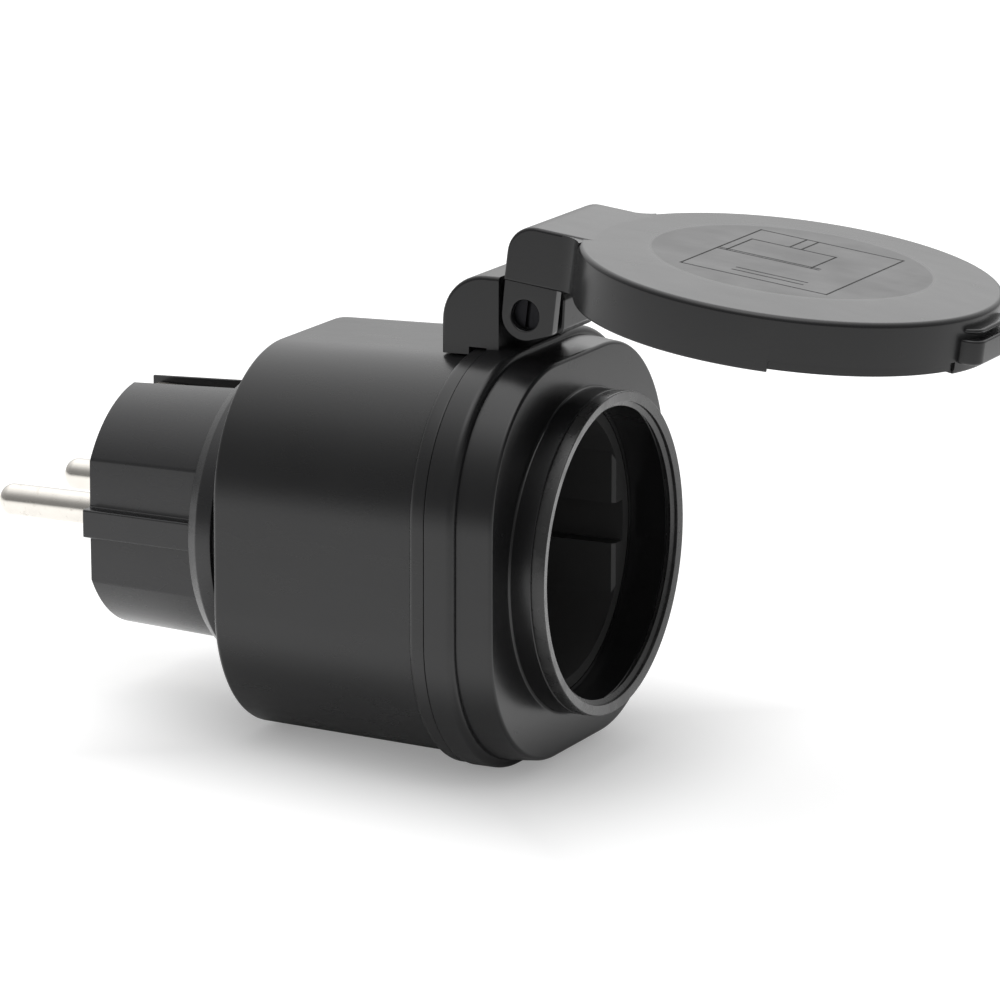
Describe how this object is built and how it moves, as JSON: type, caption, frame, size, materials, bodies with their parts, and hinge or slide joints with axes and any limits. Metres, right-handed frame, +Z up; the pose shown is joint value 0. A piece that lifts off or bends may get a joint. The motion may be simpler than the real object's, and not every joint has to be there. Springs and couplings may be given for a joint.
{
  "type": "remote control socket",
  "caption": "Outdoor plug-in remote control socket: round plug with pins, rounded black housing with receiver and relay inside, sealed socket under a hinged splash lid.",
  "frame": {"origin": "centre of the plug's end face, between the pins", "axes": "+Y along the pins and out of the plug, -Y out of the socket's mouth, +Z up towards the lid's hinge, +X across"},
  "size_m": [0.0612, 0.1547, 0.0792],
  "materials": {
    "housing_plastic": "fine satin texture",
    "cover_plastic": "satin",
    "plug_plastic": "satin gloss",
    "lid_plastic": "satin",
    "cup_plastic": "satin",
    "rubber": "matt",
    "nickel": "nickel plated",
    "brass_strip": "bright",
    "zinc_steel": "zinc plated",
    "black_steel": "blackened",
    "shutter_plastic": "smooth",
    "carrier_plastic": "matt",
    "board_laminate": "solder resist",
    "relay_case": "smooth",
    "film_case": "smooth",
    "can_sleeve": "smooth",
    "chip_case": "matt",
    "varistor_coat": "dipped",
    "fuse_body": "ceramic",
    "copper_wire": "enamelled"
  },
  "bodies": {
    "socket": {"plug_body": "plug_plastic", "line_pin": "nickel", "neutral_pin": "nickel", "plug_earth_strap": "brass_strip", "rear_housing": "housing_plastic", "front_cover": "cover_plastic", "plug_gasket": "rubber", "housing_gasket": "rubber", "mouth_seal": "rubber", "contact_cup": "cup_plastic", "shutter_spring": "zinc_steel", "contact_carrier": "carrier_plastic", "line_contact": "brass_strip", "neutral_contact": "brass_strip", "earth_clip": "nickel", "earth_link": "brass_strip", "circuit_board": "board_laminate", "relay": "relay_case", "film_capacitor": "film_case", "smoothing_capacitor": "can_sleeve", "rectifier": "chip_case", "varistor": "varistor_coat", "fuse": "fuse_body", "receiver_module": "board_laminate", "antenna": "copper_wire", "housing_screws": "zinc_steel", "plug_screws": "zinc_steel", "board_screws": "zinc_steel", "carrier_screws": "zinc_steel"},
    "splash_lid": {"lid": "lid_plastic", "lid_gasket": "rubber", "hinge_pin": "black_steel"},
    "child_shutter": {"shutter": "shutter_plastic"}
  },
  "joints": [
    {"name": "lid_hinge", "type": "hinge", "parent": "socket", "child": "splash_lid", "pos_m": [0, -0.068, 0.0358], "axis": [1, 0, 0], "range_deg": [-8, 83.2]},
    {"name": "shutter_slide", "type": "slide", "parent": "socket", "child": "child_shutter", "axis": [0, 0, -1], "range_m": [0, 0.0057], "stiffness_N_per_m": 100, "springref_m": -0.003, "deforming": ["shutter_spring"]}
  ]
}
